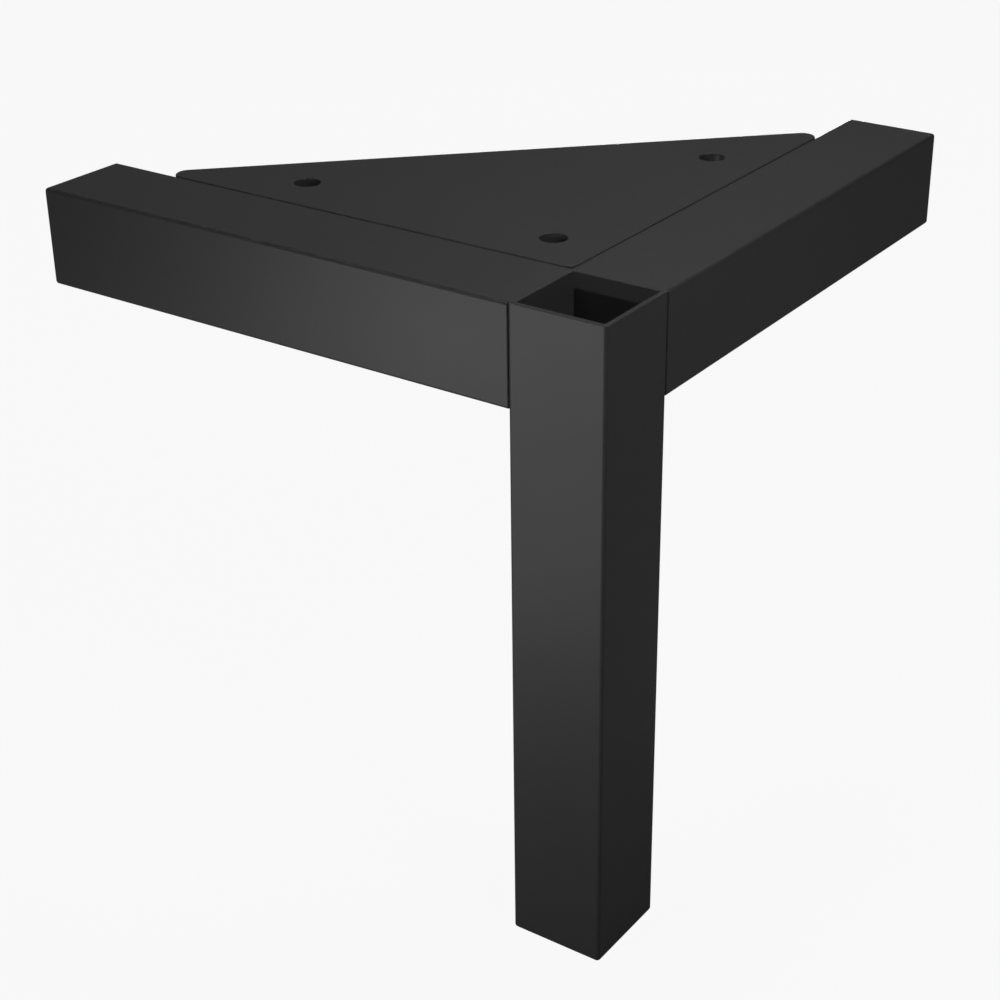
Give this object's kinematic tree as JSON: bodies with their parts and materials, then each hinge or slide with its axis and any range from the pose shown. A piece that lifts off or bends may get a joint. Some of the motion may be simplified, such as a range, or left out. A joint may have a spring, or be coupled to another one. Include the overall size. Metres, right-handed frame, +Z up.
{
  "type": "square metal table leg",
  "caption": "Short welded leg of square tube with arms along both table edges and a triangular screw plate between them, powder-coated matt black.",
  "frame": {"origin": "on the leg tube's axis, at the foot", "axes": "+Z up towards the table top, +Y along the right arm, -X along the left arm; the leg's outer faces look to +X and -Y"},
  "size_m": [0.1965, 0.1965, 0.2],
  "materials": {
    "powder_coat": "matt black powder coat on steel"
  },
  "bodies": {
    "root": {"leg_tube": "powder_coat", "left_arm_tube": "powder_coat", "right_arm_tube": "powder_coat", "mounting_plate": "powder_coat", "corner_weld": "powder_coat", "left_arm_weld": "powder_coat", "right_arm_weld": "powder_coat", "left_plate_weld_front": "powder_coat", "left_plate_weld_back": "powder_coat", "right_plate_weld_front": "powder_coat", "right_plate_weld_back": "powder_coat"}
  },
  "joints": []
}
